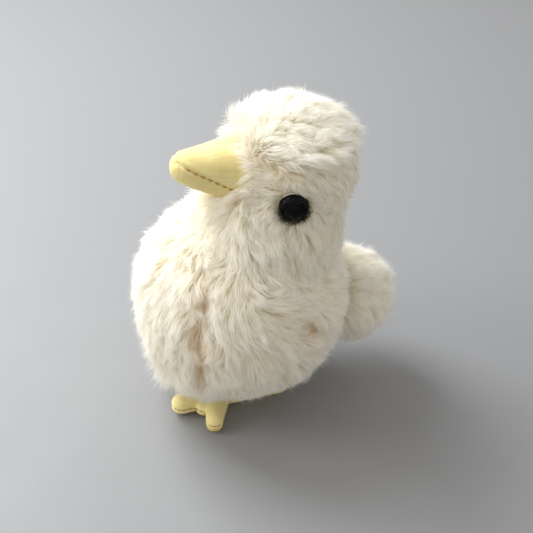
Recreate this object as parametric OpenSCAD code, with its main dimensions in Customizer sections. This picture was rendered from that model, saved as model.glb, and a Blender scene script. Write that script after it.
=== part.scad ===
// Wind-up hopping chick: a plush skin and stuffed head over a round plastic
// shell, with a spring motor that works a pair of padded feet.
// The chick faces -Y, its left side is +X, and it stands on z = 0.

/* [Plush body] */
// Radius of the round body over its plush skin
body_r = 34; // [33.5:0.25:34.5]
// Height of the middle of the body
body_z = 40; // [39.5:0.25:40.5]
// Thickness of the body skin, cloth and packed pile together
skin_t = 3.4; // [3:0.1:3.4]
// Half of the angle that the breast panel spans
breast_angle = 50; // [40:1:58]
// Height where the belly panel meets the side panels
belly_z = 17; // [15:0.5:18]
// Distance between two sewn panels
seam = 0.1; // [0.05:0.05:0.15]

/* [Head and tail] */
// Radius of the head over its plush skin
head_r = 19.5; // [19:0.25:20]
// Middle of the head behind the middle of the body
head_y = 17; // [16:0.5:18]
// Height of the middle of the head
head_z = 86; // [85:0.5:87]
// Thickness of the head and tail skins
head_skin_t = 2.4; // [2:0.1:2.6]
// Width of the gusset that runs over the head
gusset_w = 20; // [16:1:22]
// Radius of the neck where it enters the head
neck_top_r = 18.3; // [17.5:0.1:18.5]
// Radius of the neck low down, inside the body
neck_low_r = 22.5; // [21:0.5:23]
// Radius of the tail over its plush skin
tail_r = 14.5; // [14:0.25:15]
// Middle of the tail behind the middle of the body
tail_y = 37.5; // [37:0.25:38]
// Height of the middle of the tail
tail_z = 30; // [29:0.5:31]

/* [Face] */
// Length of the beak
beak_len = 23.6; // [22:0.2:25]
// Radius of the beak where it enters the head
beak_base_r = 10; // [9.6:0.1:10.2]
// Radius of the rounded beak tip
beak_tip_r = 4.6; // [4.2:0.1:5]
// Upward tilt of the beak
beak_tilt = 11; // [9:1:14]
// Thickness of the beak cloth
cloth_t = 0.9; // [0.7:0.1:1]
// Radius of an eye bead
eye_r = 4.5; // [4.2:0.1:4.6]

/* [Feet] */
// Half of the distance between the two ankles
foot_x = 7.5; // [7.4:0.1:8]
// Thickness of the padded toes
toe_h = 6.9; // [6.5:0.1:7]
// Half width of a toe
toe_r = 3.7; // [3.5:0.1:3.8]
// Thickness of the cloth sole
sole_t = 1.2; // [1:0.1:1.3]
// Thickness of the plastic foot plate
plate_t = 1.8; // [1.6:0.1:2]

/* [Spring motor] */
// Half width of the clockwork case
case_x = 10.2; // [10.2:0.1:10.5]
// Wall of the clockwork case
wall = 1.2; // [1:0.1:1.2]
// Gear module
gear_m = 0.5; // [0.5:0.5:0.5]
// Teeth of every pinion
pinion_n = 10; // [10:1:10]
// Radial clearance of a running fit
run = 0.05; // [0.03:0.01:0.08]
// Width across the wings of the key
key_w = 23; // [20:0.5:24]
// Distance from the middle of the toy to the outer edge of the key
key_reach = 46; // [45:0.5:48]

/* [Hidden] */
$fn = 48;

shift_x = (key_reach - body_r) / 2;
shift_y = (body_r - tail_y - tail_r) / 2;
shell_or = body_r - skin_t - seam;
shell_ir = shell_or - 1.4;
neck_len = norm([head_y, head_z - body_z]);
neck_tilt = atan2(head_y, head_z - body_z);
beak_y = 2.2;
beak_z = head_z + 2;
eye_dir = [17.5, -5.2, -2.6] / norm([17.5, -5.2, -2.6]);
eye_dist = 18.6;
eye_back = 16.3;

// Shafts of the motor, as [y, z]: each stands one mesh away from the last
main_at = [7, 47];
second_at = main_at + mesh_step(36, 210);
third_at = second_at + mesh_step(30, 300);
crank_at = third_at + mesh_step(24, 10);
pivot_at = [14, 21];
case_screw_at = [[-9.4, 28], [-9.4, 54.4], [15.2, 27.6]];
shell_screw_at = [[-21, 38], [23.8, 44], [-3, 64]];
post_at = [[-6, 32], [-6, 51]];

// Left foot, as [x, y]: ankle, front toe, outer toe and heel
ankle = [foot_x, -12];
toes = [[foot_x + 1.5, -23.4], [foot_x + 12.6, -15.8], [foot_x + 2, 10]];
peg_at = [8, 2];
plate_z = sole_t + seam;

function mesh_step(teeth, angle) =
    (teeth + pinion_n) * gear_m / 2 * [cos(angle), sin(angle)];

// ---- placing ----

module place() {
    translate([shift_x, shift_y, 0]) children();
}

// Turns a flat outline so that its x and y lie along Y and Z, at x = from
module across(from, to, at = [0, 0]) {
    translate([from, at[0], at[1]])
        rotate([90, 0, 90]) linear_extrude(to - from) children();
}

module rod_x(r, from, to, at) {
    translate([from, at[0], at[1]]) rotate([0, 90, 0]) cylinder(r = r, h = to - from);
}

// Round bar from p to q with a ball at each end
module bar(p, q, r) {
    d = q - p;
    translate(p) sphere(r);
    translate(q) sphere(r);
    translate(p)
        rotate([0, acos(d[2] / norm(d)), atan2(d[1], d[0])]) cylinder(r = r, h = norm(d));
}

module half_space(side) {
    translate([side > 0 ? 0 : -200, -100, -50]) cube(200);
}

// ---- plush body ----

module body_ball(r) {
    translate([0, 0, body_z]) sphere(r, $fn = 96);
}

module body_skin() {
    difference() {
        body_ball(body_r);
        body_ball(body_r - skin_t);
        neck_solid(seam);
    }
}

module breast_sector(extra) {
    a = breast_angle + extra;
    far = 3 * body_r;
    linear_extrude(3 * body_z)
        polygon([[0, 0], [-far * sin(a), -far * cos(a)], [0, -2 * far], [far * sin(a), -far * cos(a)]]);
}

module above(z) {
    translate([-100, -100, z]) cube(200);
}

module leg_slots() {
    for (s = [-1, 1]) translate([s * peg_at[0] - 2.2, 0, 0]) cube([4.4, 14.2, 19]);
}

// Wider openings in the belly cloth, where the pads sit up against it
module pad_openings() {
    for (s = [-1, 1]) translate([s * peg_at[0] - 3.4, -6.6, 0]) cube([6.8, 20.8, 19]);
}

module key_hole(r) {
    rod_x(r, -body_r - 2, -20, main_at);
}

module flank(side) {
    difference() {
        body_skin();
        breast_sector(0.1);
        half_space(-side);
        translate([-100, -100, -200 + belly_z + seam]) cube(200);
        key_hole(2.3);
    }
}

// ---- head ----

module neck_solid(grow) {
    translate([0, 0, body_z]) rotate([-neck_tilt, 0, 0])
        translate([0, 0, 20])
            cylinder(h = neck_len - 20, r1 = neck_low_r + grow, r2 = neck_top_r + grow, $fn = 96);
}

module head_solid(grow) {
    translate([0, head_y, head_z]) sphere(head_r + grow, $fn = 96);
    neck_solid(grow);
}

module head_skin() {
    difference() {
        head_solid(0);
        head_solid(-head_skin_t);
        body_ball(shell_or + seam);
        beak_frame() beak_solid(seam);
        for (s = [-1, 1]) eye_frame(s) eye_solid(seam);
    }
}

module side_of_head(side) {
    difference() {
        head_skin();
        translate([side > 0 ? -200 + gusset_w / 2 + seam : -gusset_w / 2 - seam, -100, -50])
            cube(200);
    }
}

// ---- beak: its own frame has z along the beak and y upwards ----

module beak_frame() {
    translate([0, beak_y, beak_z]) rotate([90 - beak_tilt, 0, 0]) children();
}

module beak_solid(grow) {
    straight = beak_len - beak_tip_r;
    translate([0, 0, -grow])
        cylinder(h = straight + grow, r1 = beak_base_r + grow, r2 = beak_tip_r + 0.1 + grow);
    translate([0, 0, straight]) sphere(beak_tip_r + grow);
}

module beak_cover() {
    difference() {
        beak_solid(0);
        beak_solid(-cloth_t);
        translate([0, 0, -1]) cylinder(h = 3, r = beak_base_r - cloth_t);
    }
}

// Everything under the mouth line, which rises towards the tip
module under_mouth() {
    translate([0, -5.2, 0]) rotate([20, 0, 0]) translate([-50, -100, -50]) cube(100);
}

// ---- eyes: the frame has z pointing out of the head ----

module eye_frame(side) {
    d = [side * eye_dir[0], eye_dir[1], eye_dir[2]];
    translate([0, head_y, head_z]) rotate([0, acos(d[2]), atan2(d[1], d[0])]) children();
}

module eye_solid(grow) {
    intersection() {
        translate([0, 0, eye_dist]) sphere(eye_r + grow);
        translate([0, 0, eye_back + 10 - grow]) cube(20, center = true);
    }
    translate([0, 0, 8 - grow]) cylinder(h = eye_back - 7, r = 1.2 + grow);
}

module eye(side) {
    color("black") place() eye_frame(side) eye_solid(0);
}

// ---- tail ----

module tail_ball(r) {
    difference() {
        translate([0, tail_y, tail_z]) sphere(r, $fn = 96);
        body_ball(body_r + seam);
    }
}

module tail_skin() {
    difference() {
        tail_ball(tail_r);
        tail_ball(tail_r - head_skin_t);
    }
}

// ---- body shell ----

module shell_half(side) {
    difference() {
        union() {
            difference() {
                body_ball(shell_or);
                body_ball(shell_ir);
            }
            intersection() {
                body_ball(shell_ir + 0.5);
                union() {
                    for (p = shell_screw_at) rod_x(3, -30, 30, p);
                    for (p = post_at) rod_x(2.4, side > 0 ? case_x + seam : -30, side > 0 ? 30 : -case_x - seam, p);
                }
            }
        }
        half_space(-side);
        leg_slots();
        key_hole(2.1);
        for (p = shell_screw_at) {
            rod_x(2.2, -40, -6.4, p);
            rod_x(side > 0 ? 1 : 1.15, -10, 7.5, p);
        }
    }
}

// ---- clockwork ----

module case_outline() {
    polygon([[-12.5, 29], [-8.5, 24.4], [18, 24.4], [18, 54.5], [14.5, 58], [-9, 58], [-12.5, 54.5]]);
}

module case_pocket() {
    polygon([[-11.3, 29.4], [-8, 25.6], [16.8, 25.6], [16.8, 54], [14, 56.8], [-8.5, 56.8], [-11.3, 54]]);
}

module case_half(side) {
    inner = case_x - wall;
    difference() {
        union() {
            difference() {
                across(-case_x, case_x) case_outline();
                across(-inner, inner) case_pocket();
            }
            for (p = case_screw_at) rod_x(1.9, -inner, inner, p);
            translate([side > 0 ? 3 : -4.2, pivot_at[0] - 2.4, pivot_at[1]])
                cube([1.2, 4.8, 4]);
            rod_x(2.4, side > 0 ? 3 : -4.2, side > 0 ? 4.2 : -3, pivot_at);
        }
        half_space(-side);
        for (p = [second_at, third_at]) rod_x(0.7, -20, 20, p);
        rod_x(0.9 + run, -20, 20, crank_at);
        rod_x(0.9, -20, 20, pivot_at);
        rod_x(side > 0 ? 1.2 + run : 1.6 + run, -20, 20, main_at);
        for (p = case_screw_at) {
            rod_x(1.6, -20, -case_x + 1, p);
            rod_x(0.8, -20, 7, p);
        }
    }
}

// Involute flank point at radius r on a base circle, as an angle in degrees
function involute(r, base) =
    let (t = sqrt(max(pow(r / base, 2) - 1, 0))) t * 180 / PI - atan(t);

// Gear outline with short teeth; phase is the angle of one tooth's middle
module gear_outline(teeth, phase, top, bottom) {
    r = teeth * gear_m / 2;
    base = r * cos(20);
    half = 90 / teeth - 0.05 / r * 180 / PI + involute(r, base);
    levels = [r - bottom, max(base, r - bottom), r, r + top];
    polygon([for (i = [0 : teeth - 1]) let (mid = phase + i * 360 / teeth)
        for (k = [0 : 7])
            let (rad = levels[k < 4 ? k : 7 - k], a = half - involute(rad, base))
            rad * [cos(mid + (k < 4 ? -a : a)), sin(mid + (k < 4 ? -a : a))]]);
}

module wheel(teeth, from, to, at, phase, bore) {
    across(from, to, at) difference() {
        gear_outline(teeth, phase, 0.3, 0.5);
        circle(bore);
    }
}

module pinion(from, to, at, meets, bore) {
    across(from, to, at) difference() {
        gear_outline(pinion_n, meets + 180 / pinion_n, 0.4, 0.45);
        if (bore > 0) circle(bore);
    }
}

// Coiled strip, as a spiral band that widens by a fixed pitch each turn
module spiral_band(r0, r1, turns, t) {
    steps = turns * 20;
    function at(i, out) = (r0 + (r1 - r0) * i / steps + out) * [cos(i * 18), sin(i * 18)];
    polygon(concat([for (i = [0 : steps]) at(i, 0)], [for (i = [steps : -1 : 0]) at(i, t)]));
}

// ---- feet ----

module toe_path(inset) {
    r = toe_r - inset;
    translate(ankle) circle(r);
    for (t = toes) {
        d = t - ankle;
        translate(t) circle(r);
        translate(ankle) rotate(atan2(d[1], d[0]))
            translate([0, 0.15 - r]) square([norm(d), 2 * r - 0.3]);
    }
}

// Toes in two steps, the upper one drawn in like the crown of the pad
module toe_pads() {
    step_z = toe_h - 1.6;
    translate([0, 0, plate_z]) linear_extrude(step_z - plate_z) toe_path(0);
    translate([0, 0, step_z - 0.1]) linear_extrude(1.7) toe_path(0.8);
}

module foot_plate(side) {
    color("gainsboro") place() mirror([side > 0 ? 0 : 1, 0, 0]) difference() {
        union() {
            translate([0, 0, plate_z]) linear_extrude(plate_t) toe_path(1);
            translate([peg_at[0], peg_at[1], plate_z]) cylinder(h = 4.9, r = 2.6);
        }
        translate([peg_at[0], peg_at[1], plate_z + 0.6]) cylinder(h = 9, r = 1.5);
    }
}

module foot_top(side) {
    color("khaki") place() mirror([side > 0 ? 0 : 1, 0, 0]) difference() {
        toe_pads();
        translate([0, 0, plate_z - 0.5]) linear_extrude(plate_t + 0.5) toe_path(0.9);
        translate([peg_at[0], peg_at[1], 0]) cylinder(h = 20, r = 2.7);
    }
}

module foot_sole(side) {
    color("darkkhaki") place() mirror([side > 0 ? 0 : 1, 0, 0])
        linear_extrude(sole_t) toe_path(0);
}

// ---- one module for each node ----

module skin_breast() {
    color("ivory") place() intersection() {
        body_skin();
        breast_sector(-0.1);
        above(belly_z + seam);
    }
}

module skin_flank_left() { color("cornsilk") place() flank(1); }

module skin_flank_right() { color("cornsilk") place() flank(-1); }

module skin_belly() {
    color("linen") place() difference() {
        body_skin();
        above(belly_z);
        pad_openings();
    }
}

module skin_head_gusset() {
    color("floralwhite") place() intersection() {
        head_skin();
        translate([-gusset_w / 2, -100, 0]) cube([gusset_w, 200, 200]);
    }
}

module skin_head_left() { color("ivory") place() side_of_head(1); }

module skin_head_right() { color("ivory") place() side_of_head(-1); }

module skin_tail_upper() {
    color("floralwhite") place() intersection() {
        tail_skin();
        above(tail_z + seam / 2);
    }
}

module skin_tail_lower() {
    color("linen") place() difference() {
        tail_skin();
        above(tail_z - seam / 2);
    }
}

module stuffing_head() {
    color("white") place() difference() {
        head_solid(-head_skin_t - seam);
        body_ball(shell_or + seam);
        beak_frame() beak_solid(seam);
        for (s = [-1, 1]) eye_frame(s) {
            eye_solid(seam);
            translate([0, 0, eye_back - 1.3]) cylinder(h = 1.3, r = 4.6);
        }
    }
}

module stuffing_tail() {
    color("white") place()
        translate([0, 0, body_z]) rotate([atan2(tail_z - body_z, tail_y) - 90, 0, 0])
            intersection() {
                translate([0, 0, norm([tail_y, tail_z - body_z])])
                    sphere(tail_r - head_skin_t - seam);
                above(body_r + 0.2);
            }
}

module beak_upper() {
    color("khaki") place() beak_frame() difference() {
        beak_cover();
        translate([0, seam, 0]) under_mouth();
    }
}

module beak_lower() {
    color("darkkhaki") place() beak_frame() intersection() {
        beak_cover();
        under_mouth();
    }
}

module stuffing_beak() {
    color("white") place() beak_frame() intersection() {
        beak_solid(-cloth_t - seam);
        cylinder(h = beak_len, r = beak_base_r);
    }
}

module eye_left() { eye(1); }

module eye_right() { eye(-1); }

module eye_washers() {
    color("dimgray") place() for (s = [-1, 1]) eye_frame(s)
        translate([0, 0, eye_back - 1.2]) difference() {
            cylinder(h = 1, r = 4.5);
            translate([0, 0, -1]) cylinder(h = 3, r = 1.2);
        }
}

module shell_left() { color("lightblue") place() shell_half(1); }

module shell_right() { color("lightblue") place() shell_half(-1); }

module shell_screws() {
    color("silver") place() for (p = shell_screw_at) {
        rod_x(2, -8, -6.4, p);
        rod_x(1, -7, 7, p);
    }
}

module case_left() { color("steelblue") place() case_half(1); }

module case_right() { color("steelblue") place() case_half(-1); }

module case_screws() {
    color("silver") place() for (p = case_screw_at) {
        rod_x(1.5, -case_x, -case_x + 1, p);
        rod_x(0.8, -case_x + 0.5, 6.5, p);
    }
}

module gear_pins() {
    color("silver") place() for (p = [second_at, third_at]) rod_x(0.7, -case_x, case_x, p);
}

module mainspring() {
    color("slategray") place() across(-8.5, -3.2, main_at) spiral_band(1.75, 8.8, 9, 0.35);
}

module winding_arbor() {
    color("gray") place() {
        rod_x(1.6, -37, -2.9, main_at);
        rod_x(1.2, -3, case_x - 0.2, main_at);
        across(-2.7, -1.5, main_at)
            polygon([for (i = [0 : 11]) for (k = [0, 1])
                (k == 0 ? 3.3 : 2.6) * [cos(i * 30 - k * 6), sin(i * 30 - k * 6)]]);
    }
}

module winding_key() {
    wing = key_w / 4;
    tip = key_reach - wing;
    color("silver") place() difference() {
        union() {
            rod_x(2.8, -key_reach + 2, -35.6, main_at);
            for (s = [-1, 1])
                translate([-tip, main_at[0] + 1, main_at[1] + s * wing])
                    rotate([90, 0, 0]) cylinder(r = wing, h = 2);
        }
        rod_x(1.6, -37, -20, main_at);
        for (s = [-1, 1])
            translate([-tip, main_at[0] + 5, main_at[1] + s * (wing + 1.2)])
                rotate([90, 0, 0]) cylinder(r = wing - 3, h = 10);
    }
}

module great_wheel() {
    color("goldenrod") place() wheel(36, -1, 0.8, main_at, 210, 1.2 + run);
}

module click_pawl() {
    color("gray") place() across(-2.6, -1.1, main_at) {
        translate([5.4, 0]) circle(1.1);
        rotate(-8) translate([3.6, -0.9]) square([1.8, 1.2]);
    }
}

module second_wheel() {
    color("goldenrod") place() {
        pinion(-1.2, 1.4, second_at, 30, 0.7 + run);
        wheel(30, 1.4, 2.8, second_at, 300, 0.7 + run);
    }
}

module third_wheel() {
    color("goldenrod") place() {
        pinion(1.2, 3.4, third_at, 120, 0.7 + run);
        wheel(24, 3.4, 4.8, third_at, 10, 0.7 + run);
    }
}

module crank_wheel() {
    arm = [crank_at[0], crank_at[1] + 3.4];
    color("goldenrod") place() {
        pinion(3.2, 5.4, crank_at, 190, 0);
        rod_x(0.9, -case_x + 0.2, 11.5, crank_at);
        rod_x(5, case_x + 0.7, case_x + 2.1, crank_at);
        rod_x(0.8, case_x + 2, case_x + 4.3, arm);
    }
}

module leg_pivot_pin() {
    color("silver") place() rod_x(0.9, -9.8, 14.6, pivot_at);
}

module leg_yoke() {
    reach = crank_at - pivot_at;
    tip = pivot_at + 7.8 * reach / norm(reach);
    color("tan") place() difference() {
        union() {
            rod_x(2, -9.4, -4.6, pivot_at);
            rod_x(1.6, 4.6, 14.2, pivot_at);
            rod_x(1.3, -8, 8, pivot_at + [-5, -4.9]);
            for (s = [-1, 1]) {
                bar([s * peg_at[0], pivot_at[0], pivot_at[1]], [s * peg_at[0], peg_at[1], 7.4], 1.45);
                translate([s * peg_at[0], peg_at[1], plate_z + 0.7]) cylinder(h = 5.4, r = 1.5);
            }
            across(12.7, 14.2) {
                translate(tip) circle(1.2);
                translate(pivot_at) rotate(atan2(reach[1], reach[0]))
                    translate([0, -1.2]) square([7.8, 2.4]);
            }
        }
        rod_x(0.9 + run, -20, 20, pivot_at);
    }
}

module leg_spring() {
    color("slategray") place() {
        translate(concat(0, pivot_at)) rotate([0, 90, 0]) rotate_extrude()
            for (i = [-3 : 3]) translate([1.7, i * 0.6]) circle(0.36);
        across(1.5, 2.1, pivot_at) translate([1.4, 0]) square([0.6, 2.8]);
        across(-2.1, -1.5, pivot_at) rotate(225) translate([1.4, -0.3]) square([4, 0.6]);
    }
}

module foot_plate_left() { foot_plate(1); }

module foot_plate_right() { foot_plate(-1); }

module foot_top_left() { foot_top(1); }

module foot_top_right() { foot_top(-1); }

module foot_sole_left() { foot_sole(1); }

module foot_sole_right() { foot_sole(-1); }

skin_breast();
skin_flank_left();
skin_flank_right();
skin_belly();
skin_head_gusset();
skin_head_left();
skin_head_right();
skin_tail_upper();
skin_tail_lower();
stuffing_head();
stuffing_tail();
beak_upper();
beak_lower();
stuffing_beak();
eye_left();
eye_right();
eye_washers();
shell_left();
shell_right();
shell_screws();
case_left();
case_right();
case_screws();
gear_pins();
mainspring();
winding_arbor();
winding_key();
great_wheel();
click_pawl();
second_wheel();
third_wheel();
crank_wheel();
leg_pivot_pin();
leg_yoke();
leg_spring();
foot_plate_left();
foot_plate_right();
foot_top_left();
foot_top_right();
foot_sole_left();
foot_sole_right();
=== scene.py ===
"""Looks of the wind-up hopping chick: plush, woven cloth, bead eyes and the nickel key."""

import math

import bmesh
import bpy
import numpy as np
from mathutils import Matrix, Vector
from mathutils.kdtree import KDTree


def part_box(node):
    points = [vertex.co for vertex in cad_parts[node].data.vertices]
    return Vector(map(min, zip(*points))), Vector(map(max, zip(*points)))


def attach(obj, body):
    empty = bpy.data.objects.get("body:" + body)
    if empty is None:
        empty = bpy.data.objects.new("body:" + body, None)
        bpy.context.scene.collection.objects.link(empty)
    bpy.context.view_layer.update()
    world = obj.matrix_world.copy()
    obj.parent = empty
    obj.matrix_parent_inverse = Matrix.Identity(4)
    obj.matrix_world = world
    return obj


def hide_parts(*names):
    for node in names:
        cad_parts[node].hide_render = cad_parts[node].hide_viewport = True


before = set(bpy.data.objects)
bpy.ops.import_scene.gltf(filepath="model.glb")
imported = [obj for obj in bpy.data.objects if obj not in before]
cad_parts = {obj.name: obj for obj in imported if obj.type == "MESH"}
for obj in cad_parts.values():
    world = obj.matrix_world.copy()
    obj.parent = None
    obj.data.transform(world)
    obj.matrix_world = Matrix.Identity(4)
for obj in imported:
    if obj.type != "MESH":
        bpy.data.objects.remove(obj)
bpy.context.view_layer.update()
MM = 0.001
EYE_R = 4.5 * MM
FOOT_R = 3.7 * MM


# ---------------------------------------------------------------- the toy's own places, in metres

def corners(node):
    low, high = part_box(node)
    return np.array(low), np.array(high)


def between(low, high, axis):
    return (low[axis] + high[axis]) / 2


shell_low, shell_high = corners("shell_left")
middle_x = shell_low[0]
BODY = np.array([middle_x, between(shell_low, shell_high, 1), between(shell_low, shell_high, 2)])
BODY_R = BODY[1] - corners("skin_breast")[0][1]
HEAD_R = 19.5 * MM
crown = corners("skin_head_gusset")[1]
HEAD = np.array([middle_x, crown[1] - HEAD_R, crown[2] - HEAD_R])
tail_low, tail_high = corners("skin_tail_upper")
TAIL_R = (tail_high[0] - tail_low[0]) / 2
TAIL = np.array([middle_x, corners("skin_tail_lower")[1][1] - TAIL_R, tail_low[2]])
NECK_AXIS = (HEAD - BODY) / np.linalg.norm(HEAD - BODY)
NECK_LEN = np.linalg.norm(HEAD - BODY) - 20 * MM
NECK_TOP, NECK_SPREAD = 18.3, 4.2  # radius at the head, and what it gains down to the body, in mm
LEG_Y = between(*corners("leg_yoke"), 1)
KEY_YZ = (between(*corners("winding_key"), 1), between(*corners("winding_key"), 2))
BEAK_TILT = math.radians(11)
BEAK_AXIS = np.array([0, -math.cos(BEAK_TILT), math.sin(BEAK_TILT)])
BEAK_UP = np.array([0, math.sin(BEAK_TILT), math.cos(BEAK_TILT)])
BEAK_LEN = 23.6 * MM
BEAK_BASE = np.array([middle_x, HEAD[1] - 14.8 * MM, HEAD[2] + 2 * MM])
EYES = {}
for side, sign in (("left", 1), ("right", -1)):
    low, high = corners("eye_" + side)
    outer = high[0] if sign > 0 else low[0]
    EYES[side] = np.array([outer - sign * EYE_R, low[1] + EYE_R, low[2] + EYE_R])


# ---------------------------------------------------------------- small maths

def unit(v):
    return v / np.maximum(np.linalg.norm(v, axis=-1, keepdims=True), 1e-12)


def tangent(direction, normal):
    """The part of direction that lies in the surface."""
    d = np.broadcast_to(direction, normal.shape)
    return unit(d - normal * np.sum(d * normal, axis=1, keepdims=True))


def smooth(x, low, high):
    t = np.clip((x - low) / (high - low), 0, 1)
    return t * t * (3 - 2 * t)


def bell(x, centre, width):
    """1 at the centre, falling to nothing on both sides."""
    return np.exp(-((x - centre) / width) ** 2)


def full(n, value):
    return np.full(n, float(value))


def waves(points, size, seed):
    """Soft noise from -1 to 1: a few crossing waves about size metres long."""
    rng = np.random.default_rng(seed)
    total = np.zeros(len(points))
    for _ in range(7):
        direction = unit(rng.normal(size=3))
        phase = points @ direction * 2 * math.pi / (size * rng.uniform(0.7, 1.5))
        total += np.sin(phase + rng.uniform(0, 6.28))
    return total / 3.2


# ---------------------------------------------------------------- meshes

def make_object(name, mesh, material, body="root"):
    obj = bpy.data.objects.new(name, mesh)
    bpy.context.scene.collection.objects.link(obj)
    mesh.materials.append(material)
    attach(obj, body)
    return obj


def fast_mesh(name, verts, faces, uv=None):
    """Mesh from arrays; faces is a list of (n, k) index arrays."""
    mesh = bpy.data.meshes.new(name)
    loops = np.concatenate([f.ravel() for f in faces])
    sizes = np.concatenate([np.full(len(f), f.shape[1]) for f in faces])
    mesh.vertices.add(len(verts))
    mesh.vertices.foreach_set("co", np.asarray(verts, np.float32).ravel())
    mesh.loops.add(len(loops))
    mesh.loops.foreach_set("vertex_index", loops.astype(np.int32))
    mesh.polygons.add(len(sizes))
    mesh.polygons.foreach_set("loop_start", np.concatenate([[0], np.cumsum(sizes)[:-1]]).astype(np.int32))
    mesh.update(calc_edges=True)
    if uv is not None:
        layer = mesh.uv_layers.new(name="OFBake")
        layer.data.foreach_set("uv", np.asarray(uv, np.float32)[loops].ravel())
    mesh.shade_smooth()
    return mesh


def triangles(node):
    """(n, 3, 3) corners of a CAD node's triangles, in metres."""
    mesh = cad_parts[node].data
    mesh.calc_loop_triangles()
    co = np.empty(len(mesh.vertices) * 3, np.float32)
    mesh.vertices.foreach_get("co", co)
    index = np.empty(len(mesh.loop_triangles) * 3, np.int32)
    mesh.loop_triangles.foreach_get("vertices", index)
    return co.reshape(-1, 3).astype(float)[index].reshape(-1, 3, 3)


# ---------------------------------------------------------------- materials

def shader(name, color, roughness=0.5, **constants):
    """Principled material; a constant is given by its socket's name with _ for a space."""
    mat = bpy.data.materials.new(name)
    mat.use_nodes = True
    bsdf = mat.node_tree.nodes["Principled BSDF"]
    bsdf.inputs["Base Color"].default_value = (*color, 1)
    bsdf.inputs["Roughness"].default_value = roughness
    for key, value in constants.items():
        bsdf.inputs[key.replace("_", " ")].default_value = value
    return mat


def add(mat, kind, inputs=(), **settings):
    """Adds a node; inputs are (socket, value or output) pairs."""
    node = mat.node_tree.nodes.new(kind)
    for key, value in settings.items():
        setattr(node, key, value)
    for key, value in inputs:
        if isinstance(value, bpy.types.NodeSocket):
            mat.node_tree.links.new(value, node.inputs[key])
        else:
            node.inputs[key].default_value = value
    return node


def ramp(mat, factor, stops):
    node = add(mat, "ShaderNodeValToRGB", [("Fac", factor)])
    while len(node.color_ramp.elements) < len(stops):
        node.color_ramp.elements.new(0.5)
    for element, (place, color) in zip(node.color_ramp.elements, stops):
        element.position = place
        element.color = (*color, 1)
    return node.outputs["Color"]


def plush_material(name, root, mid, tip, shade):
    """Pile: u of the strand is its tone, v runs from root to tip. Low tone darkens a strand towards the shade
    colour: random tone differences, and painted shade where a style lowers the tone.
    """
    mat = shader(name, mid, 0.6, Specular_IOR_Level=0.2)
    uv = add(mat, "ShaderNodeUVMap", uv_map="OFBake")
    split = add(mat, "ShaderNodeSeparateXYZ", [("Vector", uv.outputs["UV"])])
    along = ramp(mat, split.outputs["Y"], [(0, root), (0.45, mid), (1, tip)])
    tone = ramp(mat, split.outputs["X"], [(0, shade), (0.5, (1, 1, 1)), (1, (1, 1, 1))])
    mix = add(mat, "ShaderNodeMix", data_type="RGBA", blend_type="MULTIPLY")
    links = mat.node_tree.links
    mix.inputs["Factor"].default_value = 1
    links.new(along, mix.inputs[6])
    links.new(tone, mix.inputs[7])
    bsdf = mat.node_tree.nodes["Principled BSDF"]
    links.new(mix.outputs[2], bsdf.inputs["Base Color"])
    glow = add(mat, "ShaderNodeBsdfTranslucent", [("Color", mix.outputs[2])])
    both = add(mat, "ShaderNodeMixShader", [("Fac", 0.5)])
    links.new(bsdf.outputs[0], both.inputs[1])
    links.new(glow.outputs[0], both.inputs[2])
    links.new(both.outputs[0], mat.node_tree.nodes["Material Output"].inputs["Surface"])
    return mat


def woven_material(name, light, dark, pitch, depth):
    """Plain weave: two crossing sets of threads, with slubs and a little soiling."""
    mat = shader(name, light, 0.85, Sheen_Weight=0.2, Specular_IOR_Level=0.2)
    place = add(mat, "ShaderNodeTexCoord").outputs["Object"]
    turn = add(mat, "ShaderNodeMapping", [("Vector", place), ("Rotation", (0.9, 0.35, 0.6))])
    sets = []
    for axis in ("X", "Z"):
        sets.append(add(
            mat, "ShaderNodeTexWave",
            [("Vector", turn.outputs[0]), ("Scale", 0.314 / pitch), ("Distortion", 0.6), ("Detail", 1.5)],
            bands_direction=axis).outputs["Fac"])
    weave = add(mat, "ShaderNodeMath", [(0, sets[0]), (1, sets[1])], operation="MULTIPLY").outputs[0]
    cloud = add(mat, "ShaderNodeTexNoise", [("Vector", place), ("Scale", 160), ("Detail", 5)])
    both = add(
        mat, "ShaderNodeMath", [(0, weave), (1, 0.45), (2, cloud.outputs["Fac"])],
        operation="MULTIPLY_ADD").outputs[0]
    color = ramp(mat, both, [(0.3, dark), (0.85, light)])
    bump = add(mat, "ShaderNodeBump", [("Height", weave), ("Strength", 0.5), ("Distance", depth)])
    bsdf = mat.node_tree.nodes["Principled BSDF"]
    mat.node_tree.links.new(color, bsdf.inputs["Base Color"])
    mat.node_tree.links.new(bump.outputs[0], bsdf.inputs["Normal"])
    return mat


def worn(mat, scale, low, high, bump=0.0):
    """Uneven roughness from low to high, and fine relief where bump is given, over a plain material."""
    place = add(mat, "ShaderNodeTexCoord").outputs["Object"]
    noise = add(mat, "ShaderNodeTexNoise", [("Vector", place), ("Scale", scale), ("Detail", 6)])
    noise = noise.outputs["Fac"]
    spread = add(mat, "ShaderNodeMapRange", [("Value", noise), ("To Min", low), ("To Max", high)])
    bsdf = mat.node_tree.nodes["Principled BSDF"]
    mat.node_tree.links.new(spread.outputs[0], bsdf.inputs["Roughness"])
    if bump:
        relief = add(mat, "ShaderNodeBump", [("Height", noise), ("Strength", 0.4), ("Distance", bump)])
        mat.node_tree.links.new(relief.outputs[0], bsdf.inputs["Normal"])
    return mat


# shade: the colour a strand of lowest tone is darkened to; used for random tone differences and for painted
# shade in the seams, the crease round the tail, the parting and under the crest
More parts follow.
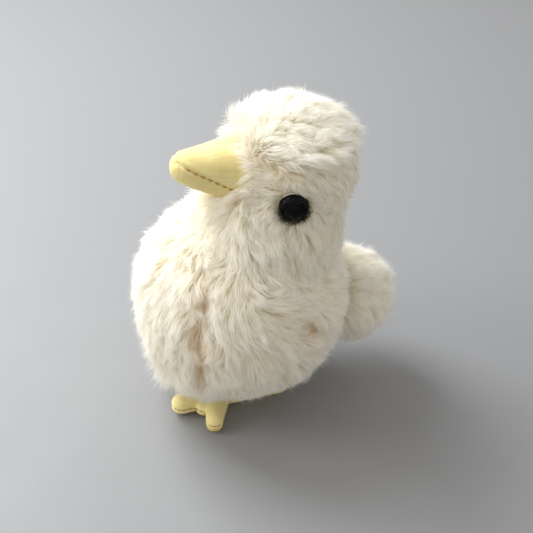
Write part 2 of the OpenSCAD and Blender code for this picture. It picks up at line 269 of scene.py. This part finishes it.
PLUSH = plush_material(
    "plush_cream", root=(0.97, 0.925, 0.79), mid=(0.988, 0.964, 0.885), tip=(0.993, 0.985, 0.95),
    shade=(0.89, 0.79, 0.62))
CLOTH = woven_material(
    "yellow_cloth", light=(0.84, 0.73, 0.34), dark=(0.74, 0.6, 0.24), pitch=0.00062, depth=0.00007)
THREAD = worn(shader("brown_thread", (0.52, 0.29, 0.08), 0.7), 900, 0.6, 0.85, 0.0001)
BEAD = worn(shader("black_bead", (0.003, 0.003, 0.004), 0.2, Specular_IOR_Level=0.07), 300, 0.16, 0.3)
LASH = worn(shader("dark_fibre", (0.012, 0.011, 0.011), 0.7), 500, 0.6, 0.8)
NICKEL = worn(shader("nickel", (0.72, 0.7, 0.66), 0.25, Metallic=1.0), 220, 0.16, 0.38, 0.00003)
STEEL = worn(shader("steel", (0.55, 0.55, 0.56), 0.35, Metallic=1.0), 500, 0.28, 0.45)
BLUED = worn(shader("blued_steel", (0.18, 0.2, 0.26), 0.3, Metallic=1.0), 400, 0.22, 0.42)
SHELL = worn(shader("shell_plastic", (0.82, 0.8, 0.74), 0.35), 150, 0.28, 0.42, 0.00004)
CASE = worn(shader("case_plastic", (0.72, 0.73, 0.72), 0.4), 150, 0.3, 0.48, 0.00004)
GEAR = worn(shader("gear_plastic", (0.86, 0.84, 0.76), 0.45), 300, 0.38, 0.55, 0.00003)
LEG = worn(shader("leg_plastic", (0.72, 0.55, 0.16), 0.42), 200, 0.34, 0.52, 0.00004)
FILLING = worn(shader("filling", (0.9, 0.9, 0.88), 0.95, Sheen_Weight=0.3), 600, 0.9, 1.0, 0.0006)
WASHER = worn(shader("washer_plastic", (0.75, 0.75, 0.72), 0.4), 300, 0.3, 0.5)

NODE_MATERIALS = {
    "winding_key": NICKEL, "winding_arbor": STEEL, "shell_screws": STEEL, "case_screws": STEEL,
    "gear_pins": STEEL, "leg_pivot_pin": STEEL, "click_pawl": STEEL, "mainspring": BLUED,
    "leg_spring": BLUED, "shell_left": SHELL, "shell_right": SHELL, "case_left": CASE,
    "case_right": CASE, "great_wheel": GEAR, "second_wheel": GEAR, "third_wheel": GEAR,
    "crank_wheel": GEAR, "leg_yoke": LEG, "foot_plate_left": LEG, "foot_plate_right": LEG,
    "stuffing_head": FILLING, "stuffing_tail": FILLING, "stuffing_beak": FILLING,
    "eye_washers": WASHER, "eye_left": BEAD, "eye_right": BEAD,
}
for node, material in NODE_MATERIALS.items():
    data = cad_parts[node].data
    if not data.materials:
        data.materials.append(material)
    for i in range(len(data.materials)):
        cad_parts[node].material_slots[i].link = "OBJECT"
        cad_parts[node].material_slots[i].material = material


# ---------------------------------------------------------------- fur

TOLERANCE = 0.08 * MM


def on_outside(points):
    """Which points lie on the outside of the plush, and the direction straight out of it there."""
    out = np.zeros_like(points)
    hit = np.zeros(len(points), bool)
    for origin, radius in ((BODY, BODY_R), (HEAD, HEAD_R), (TAIL, TAIL_R)):
        away = points - origin
        distance = np.linalg.norm(away, axis=1)
        near = np.abs(distance - radius) < TOLERANCE
        out[near] += away[near] / distance[near, None]
        hit |= near
    away = points - HEAD
    along = away @ NECK_AXIS
    radial = away - along[:, None] * NECK_AXIS
    distance = np.linalg.norm(radial, axis=1)
    cone = (NECK_TOP - NECK_SPREAD * along / NECK_LEN) * MM
    near = (np.abs(distance - cone) < TOLERANCE) & (along < 0.01 * MM)
    out[near] += radial[near] / distance[near, None]
    return hit | near, unit(out)


def sunk_triangles(node, depth):
    """A plush panel with its outside drawn in by depth: the cloth that the pile stands on."""
    tri = triangles(node)
    flat = tri.reshape(-1, 3)
    hit, out = on_outside(flat)
    moved = np.where(hit[:, None], flat - out * depth, flat).reshape(-1, 3, 3)
    return moved, hit.reshape(-1, 3).all(axis=1)


def skin_points(node, count, depth, rng):
    """Random points on the cloth of a panel, and the direction straight out of it."""
    tri, outer = sunk_triangles(node, depth)
    cross = np.cross(tri[:, 1] - tri[:, 0], tri[:, 2] - tri[:, 0])
    area = np.where(outer, np.linalg.norm(cross, axis=1), 0) / 2
    pick = rng.choice(len(tri), count, p=area / area.sum())
    a, b = np.sqrt(rng.random(count)), rng.random(count)
    weights = np.stack([1 - a, a * (1 - b), a * b], axis=1)
    return np.einsum("nk,nkc->nc", weights, tri[pick]), unit(cross)[pick], area.sum()


def nearest(points, centres):
    tree = KDTree(len(centres))
    for i, c in enumerate(centres):
        tree.insert(c, i)
    tree.balance()
    return np.fromiter((tree.find(p)[1] for p in points), int, len(points))


STEPS = np.array([0, 0.34, 0.7, 1.0])  # places along a strand
TAPER = np.array([0.9, 1.0, 0.7, 0.0])  # its width there
SEGMENTS = 12
FLOOR_GAP = 0.5 * MM


def strand_paths(root, normal, flow, length, rise, settle, bend, radius):
    """(n, steps, 3) points: a strand leaves at angle rise, comes down to angle settle and curls by bend."""
    fine = np.linspace(0, 1, SEGMENTS + 1)
    angle = rise[:, None] + (settle - rise)[:, None] * fine ** 0.8
    ahead = np.cumsum(np.cos(angle), axis=1) - np.cos(angle)
    up = np.cumsum(np.sin(angle), axis=1) - np.sin(angle)
    keep = np.round(STEPS * SEGMENTS).astype(int)
    ahead = ahead[:, keep] / SEGMENTS * length[:, None]
    up = up[:, keep] / SEGMENTS * length[:, None] - ahead ** 2 / (2 * radius)
    aside = ahead ** 2 / length[:, None] * bend[:, None]
    side = np.cross(normal, flow)
    return (root[:, None] + normal[:, None] * up[:, :, None] + flow[:, None] * ahead[:, :, None]
            + side[:, None] * aside[:, :, None])


def build_fur(name, nodes, count, style, seed, radius, depth=2.4 * MM, lock=3.4 * MM, tuft=1.3 * MM,
              width=0.155 * MM, wild=0.19, backing=True):
    """Grows strands on CAD panels.

    style(points, normals) gives each strand's flow, length, rise, settle, tone and chance of being kept.
    depth is how far the cloth lies under the CAD surface. With backing the piece stands for the panels.
    """
    rng = np.random.default_rng(seed)
    parts = [skin_points(node, count // len(nodes), depth, rng) for node in nodes]
    root = np.concatenate([part[0] for part in parts])
    normal = np.concatenate([part[1] for part in parts])
    area = sum(part[2] for part in parts)
    look = style(root, normal)
    keep = look["keep"] > rng.random(len(root))
    density = len(root) / area
    root, normal = root[keep], normal[keep]
    look = {key: value[keep] for key, value in look.items()}
    n = len(root)

    # every strand belongs to a lock and to a smaller tuft, and shares their lean, lift, curl, length and tone
    turn, lift, size = np.zeros(n), np.zeros(n), np.ones(n)
    bend = rng.normal(0, 0.2, n)
    tone = look["tone"].copy()
    mates = []
    for spacing, swing, shade in ((lock, wild, 0.05), (tuft, 0.7 * wild, 0.04)):
        wanted = max(8, int(n / density / spacing ** 2))
        centres = rng.choice(n, min(n, wanted), replace=False)
        mine = nearest(root, root[centres])
        mates.append((centres[mine], spacing))
        turn += swing * rng.normal(size=n)[mine]
        lift += 0.065 * rng.normal(size=n)[mine]
        bend += 0.26 * rng.normal(size=n)[mine]
        size += 0.07 * rng.normal(size=n)[mine]
        tone += shade * rng.normal(size=n)[mine]
    turn += 0.35 * waves(root, 17 * MM, seed + 1) + rng.normal(0, 0.1, n)
    side = np.cross(normal, look["flow"])
    flow = look["flow"] * np.cos(turn)[:, None] + side * np.sin(turn)[:, None]
    length = look["length"] * np.clip(size, 0.7, 1.3) * rng.uniform(0.68, 1.1, n)
    rise = look["rise"] + lift + rng.normal(0, 0.1, n)
    settle = look["settle"] + lift + rng.normal(0, 0.1, n)
    stray = rng.random(n) < 0.14
    rise[stray] += 0.2
    settle[stray] += 0.55
    thin = np.where(stray, 0.5, 1.0)
    path = strand_paths(root, normal, flow, length, rise, settle, bend, radius)
    for mate, spacing in mates:
        share = (STEPS ** 1.5)[None, :, None] * rng.uniform(0.03, 0.36, n)[:, None, None]
        reach = np.linalg.norm(root[mate] - root, axis=1)[:, None, None]
        path = path + (path[mate] - path) * share * np.clip(1.5 - reach / spacing, 0, 1)
    path[:, :, 2] = np.maximum(path[:, :, 2], FLOOR_GAP)
    tone = np.clip(tone + rng.normal(0, 0.05, n), 0.02, 0.98)

    along = unit(np.gradient(path, axis=1))
    across = unit(np.cross(along, normal[:, None]))
    roll = rng.normal(0, 0.5, n)
    third = unit(np.cross(across, along))
    across = across * np.cos(roll)[:, None, None] + third * np.sin(roll)[:, None, None]
    half = across * (width / 2 * thin * rng.uniform(0.7, 1.3, n))[:, None, None] * TAPER[None, :, None]
    verts = np.concatenate([(path - half)[:, :3], (path + half)[:, :3], path[:, 3:]], axis=1)
    verts = verts.reshape(-1, 3)
    base = (np.arange(n) * 7)[:, None]
    quads = np.concatenate([base + [0, 3, 4, 1], base + [1, 4, 5, 2]])
    tips = base + [2, 5, 6]
    u = tone[:, None] + np.array([-1, -1, -1, 1, 1, 1, 0]) * 0.006
    v = np.broadcast_to(np.array([0.02, 0.34, 0.7, 0.02, 0.34, 0.7, 0.99]), u.shape)
    uv = np.stack([u, v], axis=2).reshape(-1, 2)

    faces = [quads, tips]
    if backing:
        for node in nodes:
            tri, _ = sunk_triangles(node, depth)
            start = len(verts)
            verts = np.concatenate([verts, tri.reshape(-1, 3)])
            faces.append(np.arange(start, start + 3 * len(tri)).reshape(-1, 3))
            uv = np.concatenate([uv, np.tile([[0.5, 0.03], [0.51, 0.03], [0.5, 0.05]], (len(tri), 1))])
    obj = make_object(name, fast_mesh(name, verts, faces, uv), PLUSH)
    if backing:
        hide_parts(*nodes)


def body_style(p, normal):
    """Pile falls from the neck, sweeps back over the flanks and is parted at the seams. Its tone is lowered
    in the seam grooves, in the crease round the tail and in the parting behind the flank: painted shade.

    turn is degrees round from straight ahead, level is degrees above the ball's middle.
    """
    rel = p - BODY
    sign = np.where(rel[:, 0] > 0, 1.0, -1.0)
    turn = np.degrees(np.arctan2(np.abs(rel[:, 0]), -rel[:, 1]))
    level = np.degrees(np.arcsin(np.clip(rel[:, 2] / np.linalg.norm(rel, axis=1), -1, 1)))
    backward = np.stack([sign * np.cos(np.radians(turn)), np.sin(np.radians(turn)), 0 * turn], axis=1)
    down = tangent(np.array([0, 0, -1.0]), normal)
    slant = (8 + 42 * smooth(turn, 62, 112) * (1 - smooth(turn, 140, 175))
             + 30 * smooth(level, 2, 30) * smooth(turn, 66, 90) * (1 - smooth(turn, 125, 160)))
    flow = down * np.cos(np.radians(slant))[:, None] + backward * np.sin(np.radians(slant))[:, None]
    out_of_neck = tangent(unit(p - (BODY + NECK_AXIS * 38 * MM)), normal)
    near_neck = smooth(rel @ NECK_AXIS, 14 * MM, 27 * MM)[:, None]
    flow = flow * (1 - 0.8 * near_neck) + out_of_neck * 0.8 * near_neck
    seam = bell(turn, 50, 4.5) * smooth(level, -45, -10)
    crease = bell(np.linalg.norm(p - TAIL, axis=1), TAIL_R + 1.5 * MM, 2.2 * MM)
    hem = smooth(-level, 8, 26) * (1 - smooth(turn, 48, 70))
    key = np.hypot(p[:, 1] - KEY_YZ[0], p[:, 2] - KEY_YZ[1])
    key = np.where(rel[:, 0] < 0, smooth(key, 3 * MM, 16 * MM), 1)
    under = 1 - smooth(level, -48, -18)
    bib = bell(turn, 15, 16) * bell(level, -35, 11)
    parting = bell(turn + 0.7 * level, 119, 5) * bell(level, 10, 8)
    leg = np.maximum(np.abs(np.abs(rel[:, 0]) - 8 * MM) - 3.4 * MM, np.abs(p[:, 1] - LEG_Y) - 10 * MM)
    leg = np.where(rel[:, 2] < -20 * MM, smooth(leg, -1 * MM, 5 * MM), 1)
    length = 7.7 - 1.9 * seam - 2.0 * under + 1.2 * crease + 3.0 * hem + 3.2 * bib - 4.4 * parting
    return {
        "flow": tangent(flow, normal),
        "length": length * MM * (0.34 + 0.66 * key) * (0.35 + 0.65 * leg),
        "rise": 0.95 - 0.3 * seam,
        "settle": 0.2 - 0.18 * seam + 0.5 * under + 0.15 * hem + 0.3 * bib + 0.2 * crease,
        # painted shade: tone drops in the seam grooves, in the crease round the tail and in the parting
        "tone": 0.6 - 0.42 * seam - 0.15 * crease - 0.7 * parting,
        "keep": full(len(p), 1.0),
    }


def head_style(p, normal):
    """Pile fans out from the eyes and the beak, and hangs longer down the neck. A band of lower tone under
    the crest's brim is painted shade.
    """
    rel = p - HEAD
    sign = np.where(rel[:, 0] > 0, 1.0, -1.0)
    low = smooth(-(rel @ NECK_AXIS), 0, 24 * MM)
    eye = np.where(rel[:, :1] > 0, EYES["left"], EYES["right"])
    from_eye = p - eye
    gap = np.linalg.norm(from_eye, axis=1)
    near = bell(gap, 0, 9 * MM)
    ahead = smooth(-rel[:, 1], 4 * MM, 14 * MM) * smooth(rel[:, 2], -12 * MM, 2 * MM)
    high = smooth(rel[:, 2], 5 * MM, 12 * MM)
    guide = np.stack(
        [0.08 * sign, 0.18 - 0.75 * ahead + 0.7 * high, -1 + 0.9 * ahead + 0.75 * high], axis=1)
    guide = guide + 1.5 * near[:, None] * unit(from_eye)
    from_beak = p - BEAK_BASE
    fringe = np.linalg.norm(np.cross(from_beak, BEAK_AXIS), axis=1)
    fringe = bell(fringe, 9.5 * MM, 2.6 * MM) * (from_beak @ BEAK_AXIS > -8 * MM)
    brow = bell(rel[:, 2], 6 * MM, 4 * MM)
    return {
        "flow": tangent(guide, normal),
        "length": (5.4 + 5.0 * low - 1.6 * near - 1.3 * brow + 1.4 * fringe) * MM,
        "rise": 0.95 - 0.1 * near + 0.4 * fringe,
        "settle": 0.26 - 0.08 * low + 0.75 * fringe,
        # painted shade: a darker band in the recess under the crest's brim
        "tone": 0.58 - 0.16 * bell(rel[:, 2], 10 * MM, 2.5 * MM),
        "keep": smooth(gap, 3.9 * MM, 5.0 * MM),
    }


def crest_style(p, normal):
    """The long crown, which stands out over the brow."""
    rel = p - HEAD
    brow = (10.2 - 0.05 * rel[:, 1] / MM) * MM
    edge = bell(rel[:, 2], brow, 3.2 * MM)
    front = smooth(-rel[:, 1], 11 * MM, 16 * MM)
    dip = bell(rel[:, 1], -1 * MM, 3 * MM)
    guide = np.stack([rel[:, 0] / MM * 0.05, 1 - 0.9 * front, -0.1 + 1.1 * front], axis=1)
    return {
        "flow": tangent(guide, normal),
        "length": (7.2 + 2.6 * front + 2.4 * edge - 0.6 * dip) * MM,
        "rise": 1.2 + 0.1 * edge + 0.2 * front,
        "settle": 0.3 - 0.1 * edge + 0.5 * front,
        "tone": full(len(p), 0.9),
        "keep": smooth(rel[:, 2] - brow, -1.5 * MM, 1.5 * MM),
    }


def brow_style(p, normal):
    """Thin wisps that reach forward over the beak."""
    rel = p - HEAD
    guide = np.stack([rel[:, 0] / MM * 0.04, full(len(p), -1), full(len(p), 0.5)], axis=1)
    return {
        "flow": tangent(guide, normal),
        "length": full(len(p), 9.5) * MM,
        "rise": full(len(p), 1.1),
        "settle": full(len(p), 0.75),
        "tone": full(len(p), 0.85),
        "keep": smooth(-rel[:, 1], 10 * MM, 14 * MM) * smooth(rel[:, 2], 6 * MM, 10 * MM),
    }


def tail_style(p, normal):
    n = len(p)
    rel = p - TAIL
    joint = smooth(-rel[:, 1], 0, 10 * MM)
    return {
        "flow": tangent(unit(rel) * 0.2 + np.array([0, 0.75, -0.6]), normal),
        "length": full(n, 8.6) * MM,
        "rise": full(n, 0.95),
        "settle": 0.3 + 0.25 * joint,
        # painted shade: tone lower towards the crease where the tail meets the body
        "tone": 0.8 - 0.2 * joint,
        "keep": full(n, 1.0),
    }


SHALLOW = 1.2 * MM
build_fur("fur_breast", ["skin_breast"], 37000, body_style, 1, BODY_R)
build_fur("fur_flank_left", ["skin_flank_left"], 38000, body_style, 11, BODY_R)
build_fur("fur_flank_right", ["skin_flank_right"], 38000, body_style, 21, BODY_R)
build_fur("fur_belly", ["skin_belly"], 20000, body_style, 31, BODY_R)
build_fur("fur_head_top", ["skin_head_gusset"], 34000, head_style, 41, HEAD_R, SHALLOW)
build_fur("fur_head_left", ["skin_head_left"], 32000, head_style, 51, HEAD_R, SHALLOW)
build_fur("fur_head_right", ["skin_head_right"], 32000, head_style, 61, HEAD_R, SHALLOW)
build_fur("fur_tail_upper", ["skin_tail_upper"], 22000, tail_style, 71, TAIL_R)
build_fur("fur_tail_lower", ["skin_tail_lower"], 24000, tail_style, 81, TAIL_R)
build_fur("fur_crest", ["skin_head_gusset", "skin_head_left", "skin_head_right"], 114000, crest_style, 91,
          HEAD_R, SHALLOW, lock=3.8 * MM, tuft=1.5 * MM, backing=False)
build_fur("fur_brow", ["skin_head_gusset", "skin_head_left", "skin_head_right"], 42000, brow_style, 101,
          HEAD_R, SHALLOW, wild=0.35, width=0.13 * MM, backing=False)


# ---------------------------------------------------------------- beak

# fraction of the length, radius in mm
BEAK_PROFILE = (
    (0, 10), (0.12, 9.9), (0.3, 9.1), (0.5, 7.8), (0.68, 6.5), (0.8, 5.5), (0.88, 4.6), (0.94, 3.5),
    (0.98, 2.1), (1, 0.0))
MOUTH_DROP = 5.2 * MM    # how far the mouth line starts below the axis
MOUTH_SLOPE = 0.364      # how fast it climbs to the tip
STITCH_PITCH = 2.15 * MM
BASE_SEAM = 0.16         # fraction of the length where the stitches go round


def beak_radius(s):
    x, r = zip(*BEAK_PROFILE)
    return np.interp(s, x, r) * MM


def mouth_angle(s):
    """Angle of the mouth line, measured down from the side of the beak."""
    drop = MOUTH_DROP - s * BEAK_LEN * MOUTH_SLOPE
    return np.arcsin(np.clip(drop / np.maximum(beak_radius(s), 1.6 * MM), -0.8, 0.9))


def beak_point(s, angle, lift=0.0):
    """Point at fraction s of the length and angle round from the left side, up positive."""
    r = beak_radius(s) + lift
    x = np.cos(angle) * r
    y = np.sin(angle) * r * (1 - 0.04 * np.sign(np.sin(angle)))
    dip = -0.5 * MM * bell(s, 0.62, 0.2) * np.clip(np.sin(angle), 0, 1)
    across = x[..., None] * np.array([1.0, 0, 0])
    return BEAK_BASE + across + (y + dip)[..., None] * BEAK_UP + (s * BEAK_LEN)[..., None] * BEAK_AXIS


def beak_piece(name, node, upper):
    """One cloth half of the beak, drawn in along the mouth and puckered by each stitch."""
    rows, cols = 90, 120
    s = 1 - (1 - np.linspace(0, 1, rows)) ** 1.25
    s = np.clip(s, 0, 0.9995)
    mouth = mouth_angle(s)
    start = -mouth if upper else -math.pi + mouth
    end = math.pi + mouth if upper else -mouth
    t = np.linspace(0, 1, cols)
    angle = start[:, None] + (end - start)[:, None] * t[None, :]
    ss = np.repeat(s[:, None], cols, axis=1)
    gap = np.minimum(t, 1 - t)[None, :] * (end - start)[:, None] * beak_radius(ss)
    pucker = 0.5 + 0.5 * np.cos(ss * BEAK_LEN / STITCH_PITCH * 2 * math.pi)
    sink = -(0.42 + 0.16 * pucker) * MM * bell(gap, 0, 0.55 * MM)
    swell = 0.18 * MM * bell(gap, 1.5 * MM, 0.9 * MM)
    pts = beak_point(ss, angle, (sink + swell) * smooth(beak_radius(ss), 0.5 * MM, 4 * MM))
    grid = np.arange(rows * cols).reshape(rows, cols)
    quads = np.stack([grid[:-1, :-1], grid[:-1, 1:], grid[1:, 1:], grid[1:, :-1]], axis=-1)
    mesh = fast_mesh(name, pts.reshape(-1, 3), [quads.reshape(-1, 4)])
    obj = make_object(name, mesh, CLOTH)
    thick = obj.modifiers.new("cloth", "SOLIDIFY")
    thick.thickness = 0.5 * MM
    thick.offset = -1
    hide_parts(node)


beak_piece("beak_top_cloth", "beak_upper", True)
beak_piece("beak_under_cloth", "beak_lower", False)


def stitches(name, path, outward, radius, material, body="root", gap=0.3):
    """Short bulged stitches along a path of points, each sunk at its ends into the cloth."""
    verts, faces = [], []
    ring, count = 8, 7
    for a, b, out in zip(path[:-1], path[1:], outward):
        p, q = a + (b - a) * gap / 2, b - (b - a) * gap / 2
        d = unit(q - p)
        side = unit(np.cross(d, out))
        base = len(verts)
        for i in range(count):
            t = i / (count - 1)
            bulge = math.sin(math.pi * t)
            centre = p + (q - p) * t + out * radius * (1.5 * bulge - 0.7)
            r = radius * (0.45 + 0.55 * bulge)
            for k in range(ring):
                w = 2 * math.pi * k / ring
                verts.append(centre + r * (math.cos(w) * side + math.sin(w) * out))
        for i in range(count - 1):
            for k in range(ring):
                m = (k + 1) % ring
                here, onward = base + i * ring, base + (i + 1) * ring
                faces.append((here + k, here + m, onward + m, onward + k))
        for end in (0, count - 1):
            first = base + end * ring
            verts.append(np.mean(verts[first: first + ring], axis=0))
            cap = len(verts) - 1
            for k in range(ring):
                m = (k + 1) % ring
                order = (k, m) if end else (m, k)
                faces.append((cap, first + order[0], first + order[1]))
    mesh = bpy.data.meshes.new(name)
    mesh.from_pydata([tuple(v) for v in verts], [], faces)
    mesh.shade_smooth()
    make_object(name, mesh, material, body)


for side, sign in (("left", 1), ("right", -1)):
    s = np.arange(0.14, 0.93, STITCH_PITCH / BEAK_LEN)
    angle = -mouth_angle(s) if sign > 0 else math.pi + mouth_angle(s)
    path = beak_point(s, angle, -0.3 * MM)
    out = unit(path - (BEAK_BASE + s[:, None] * BEAK_LEN * BEAK_AXIS))
    stitches("mouth_stitches_" + side, path, out, 0.24 * MM, THREAD)
path = beak_point(full(30, BASE_SEAM), np.linspace(-math.pi, math.pi, 30), -0.05 * MM)
out = unit(path - (BEAK_BASE + BASE_SEAM * BEAK_LEN * BEAK_AXIS))
stitches("beak_edge_stitches", path, out, 0.14 * MM, THREAD)


# ---------------------------------------------------------------- feet

def capsule(bm, a, b, r_a, r_b):
    """Adds a rounded bar from a to b as a row of flattened balls."""
    for t in np.linspace(0, 1, 13):
        r = r_a + (r_b - r_a) * smooth(t, 0, 1)
        flat = min(0.92, 3.45 * MM / r)
        bmesh.ops.create_icosphere(
            bm, subdivisions=3, radius=r,
            matrix=Matrix.Translation(Vector(a + (b - a) * t)) @ Matrix.Diagonal((1, 1, flat, 1)))


FOOT_SEAM = 3.4 * MM


def seam_line(bm):
    """The open edge of a foot piece as evenly spaced points in order, one per stitch."""
    edges = [e for e in bm.edges if e.is_boundary]
    start = edges[0].verts[0]
    order, here, last = [start.co.copy()], start, None
    while True:
        edge = next(e for e in here.link_edges if e.is_boundary and e != last)
        here, last = edge.other_vert(here), edge
        if here == start:
            break
        order.append(here.co.copy())
    closed = np.array(order + order[:1])
    walk = np.concatenate([[0], np.cumsum(np.linalg.norm(np.diff(closed, axis=0), axis=1))])
    at = np.linspace(0, walk[-1], int(walk[-1] / (2.0 * MM)), endpoint=False)
    return np.stack([np.interp(at, walk, closed[:, k]) for k in range(3)], axis=1)


def foot_pieces(side, sign):
    """Padded toes and heel grown into one skin, cut into a top and a sole, and stitched round."""
    low, high = corners("foot_sole_" + side)
    outer = (high if sign > 0 else low)[0] - sign * FOOT_R
    heel = high[1] - FOOT_R
    ankle = np.array([middle_x + sign * 8.2 * MM, heel - 21.5 * MM, 3.6 * MM])
    toes = (
        (np.array([middle_x + sign * 9.0 * MM, low[1] + 3.0 * MM, 3.5 * MM]), 3.75 * MM),
        (np.array([outer, heel - 25.8 * MM, 3.4 * MM]), 3.15 * MM),
        (np.array([middle_x + sign * 9.5 * MM, heel, 3.2 * MM]), 3.6 * MM),
        (np.array([middle_x + sign * 12.6 * MM, heel - 27.4 * MM, 3.2 * MM]), 3.0 * MM),
    )
    bm = bmesh.new()
    for tip, r in toes:
        capsule(bm, ankle, tip, 4.7 * MM, r)
    mesh = bpy.data.meshes.new("foot_form")
    bm.to_mesh(mesh)
    bm.free()
    form = bpy.data.objects.new("foot_form", mesh)
    bpy.context.scene.collection.objects.link(form)
    remesh = form.modifiers.new("one_skin", "REMESH")
    remesh.mode = "VOXEL"
    remesh.voxel_size = 0.3 * MM
    ease = form.modifiers.new("ease", "SMOOTH")
    ease.iterations = 14
    ease.factor = 0.6
    solid = bpy.data.meshes.new_from_object(form.evaluated_get(bpy.context.evaluated_depsgraph_get()))
    bpy.data.objects.remove(form)
    for part in ("top", "sole"):
        bm = bmesh.new()
        bm.from_mesh(solid)
        keep_up = part == "top"
        bmesh.ops.bisect_plane(
            bm, geom=bm.verts[:] + bm.edges[:] + bm.faces[:], plane_co=(0, 0, FOOT_SEAM),
            plane_no=(0, 0, 1), clear_inner=keep_up, clear_outer=not keep_up)
        if keep_up:
            line = seam_line(bm)
        for v in bm.verts:
            gap = v.co.z - FOOT_SEAM
            flat_normal = Vector((v.normal.x, v.normal.y, 0))
            sink = 0.5 * MM * math.exp(-(gap / (0.45 * MM)) ** 2)
            v.co -= flat_normal * sink
            v.co.z += (0.06 if keep_up else -0.06) * MM * math.exp(-(gap / (0.5 * MM)) ** 2)
            v.co.z = max(v.co.z, 0.0)
        name = "foot_" + part + "_cloth_" + side
        mesh = bpy.data.meshes.new(name)
        bm.to_mesh(mesh)
        bm.free()
        mesh.shade_smooth()
        obj = make_object(name, mesh, CLOTH, "legs")
        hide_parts("foot_" + part + "_" + side)
    bpy.data.meshes.remove(solid)
    step = unit(np.roll(line, -1, axis=0) - np.roll(line, 1, axis=0))
    out = np.cross(step, [0, 0, 1.0])
    if np.sum(out * (line - line.mean(axis=0))) < 0:
        out = -out
    line = line - out * 0.42 * MM
    stitches("foot_stitches_" + side, np.vstack([line, line[:1]]), out, 0.17 * MM, THREAD, "legs")


for side, sign in (("left", 1), ("right", -1)):
    foot_pieces(side, sign)


# ---------------------------------------------------------------- eyes: dark fibres round each bead

def eye_lashes(side, seed):
    rng = np.random.default_rng(seed)
    out = unit(EYES[side] - HEAD)
    a = unit(np.cross(out, [0, 0, 1.0]))
    b = np.cross(out, a)
    n = 1100
    w = rng.uniform(0, 2 * math.pi, n)
    radial = np.cos(w)[:, None] * a + np.sin(w)[:, None] * b
    around_eye = np.cross(out, radial)
    root = EYES[side] + radial * (rng.uniform(3.2, 4.5, n) * MM)[:, None]
    root = root + out * (rng.uniform(1.0, 3.0, n) * MM)[:, None]
    along = unit(radial * rng.uniform(0.2, 0.9, n)[:, None] + out * rng.uniform(0.3, 1, n)[:, None]
                 + around_eye * rng.normal(0, 1.1, n)[:, None])
    length = rng.uniform(0.9, 2.4, n) * MM
    half = unit(np.cross(along, radial)) * 0.045 * MM
    mid = root + along * (length * 0.6)[:, None] + out * 0.1 * MM
    tip = root + along * length[:, None] - out * 0.25 * MM
    verts = np.stack([root - half, root + half, mid - half, mid + half, tip], axis=1).reshape(-1, 3)
    base = (np.arange(n) * 5)[:, None]
    mesh = fast_mesh("eye_fuzz_" + side, verts, [base + [0, 1, 3, 2], base + [2, 3, 4]])
    make_object("eye_fuzz_" + side, mesh, LASH)


for i, side in enumerate(("left", "right")):
    eye_lashes(side, 900 + i)


# ---------------------------------------------------------------- floor, light and camera

floor_mat = worn(shader("pale_floor", (0.25, 0.25, 0.252), 0.6), 40, 0.5, 0.66)
bpy.ops.mesh.primitive_plane_add(size=4)
floor = bpy.context.object
floor.name = "floor"
floor.data.materials.append(floor_mat)


def aim(obj, place, target):
    obj.location = place
    obj.rotation_euler = (Vector(target) - Vector(place)).to_track_quat("-Z", "Y").to_euler()
    bpy.context.scene.collection.objects.link(obj)


def area_light(name, place, target, size, power, color):
    data = bpy.data.lights.new(name, "AREA")
    data.size = size
    data.energy = power
    data.color = color
    aim(bpy.data.objects.new(name, data), place, target)


def around(azimuth, elevation, distance, target):
    a, e = math.radians(azimuth), math.radians(elevation)
    back = Vector((math.sin(a) * math.cos(e), -math.cos(a) * math.cos(e), math.sin(e)))
    return Vector(target) + back * distance


TARGET = (middle_x, BODY[1] + 9 * MM, BODY[2] + 8 * MM)
area_light("window", around(-60, 46, 0.6, TARGET), TARGET, 0.34, 5.1, (0.92, 0.96, 1.0))
area_light("side_window", around(-15, 28, 0.6, TARGET), TARGET, 0.25, 1.6, (1.0, 0.99, 0.97))
world = bpy.data.worlds.new("soft_room")
bpy.context.scene.world = world
world.use_nodes = True
world.node_tree.nodes["Background"].inputs["Color"].default_value = (1.0, 0.985, 0.97, 1)
world.node_tree.nodes["Background"].inputs["Strength"].default_value = 0.7
bpy.context.scene.view_settings.view_transform = "Standard"
bpy.context.scene.cycles.max_bounces = 20
bpy.context.scene.cycles.diffuse_bounces = 16
bpy.context.scene.cycles.transmission_bounces = 16

camera_data = bpy.data.cameras.new("camera")
camera_data.sensor_width = 36
camera_data.lens = 36 * 1037 / 533
camera_data.clip_start = 0.01
camera = bpy.data.objects.new("camera", camera_data)
aim(camera, around(72, 38, 0.34, TARGET), TARGET)
bpy.context.scene.camera = camera
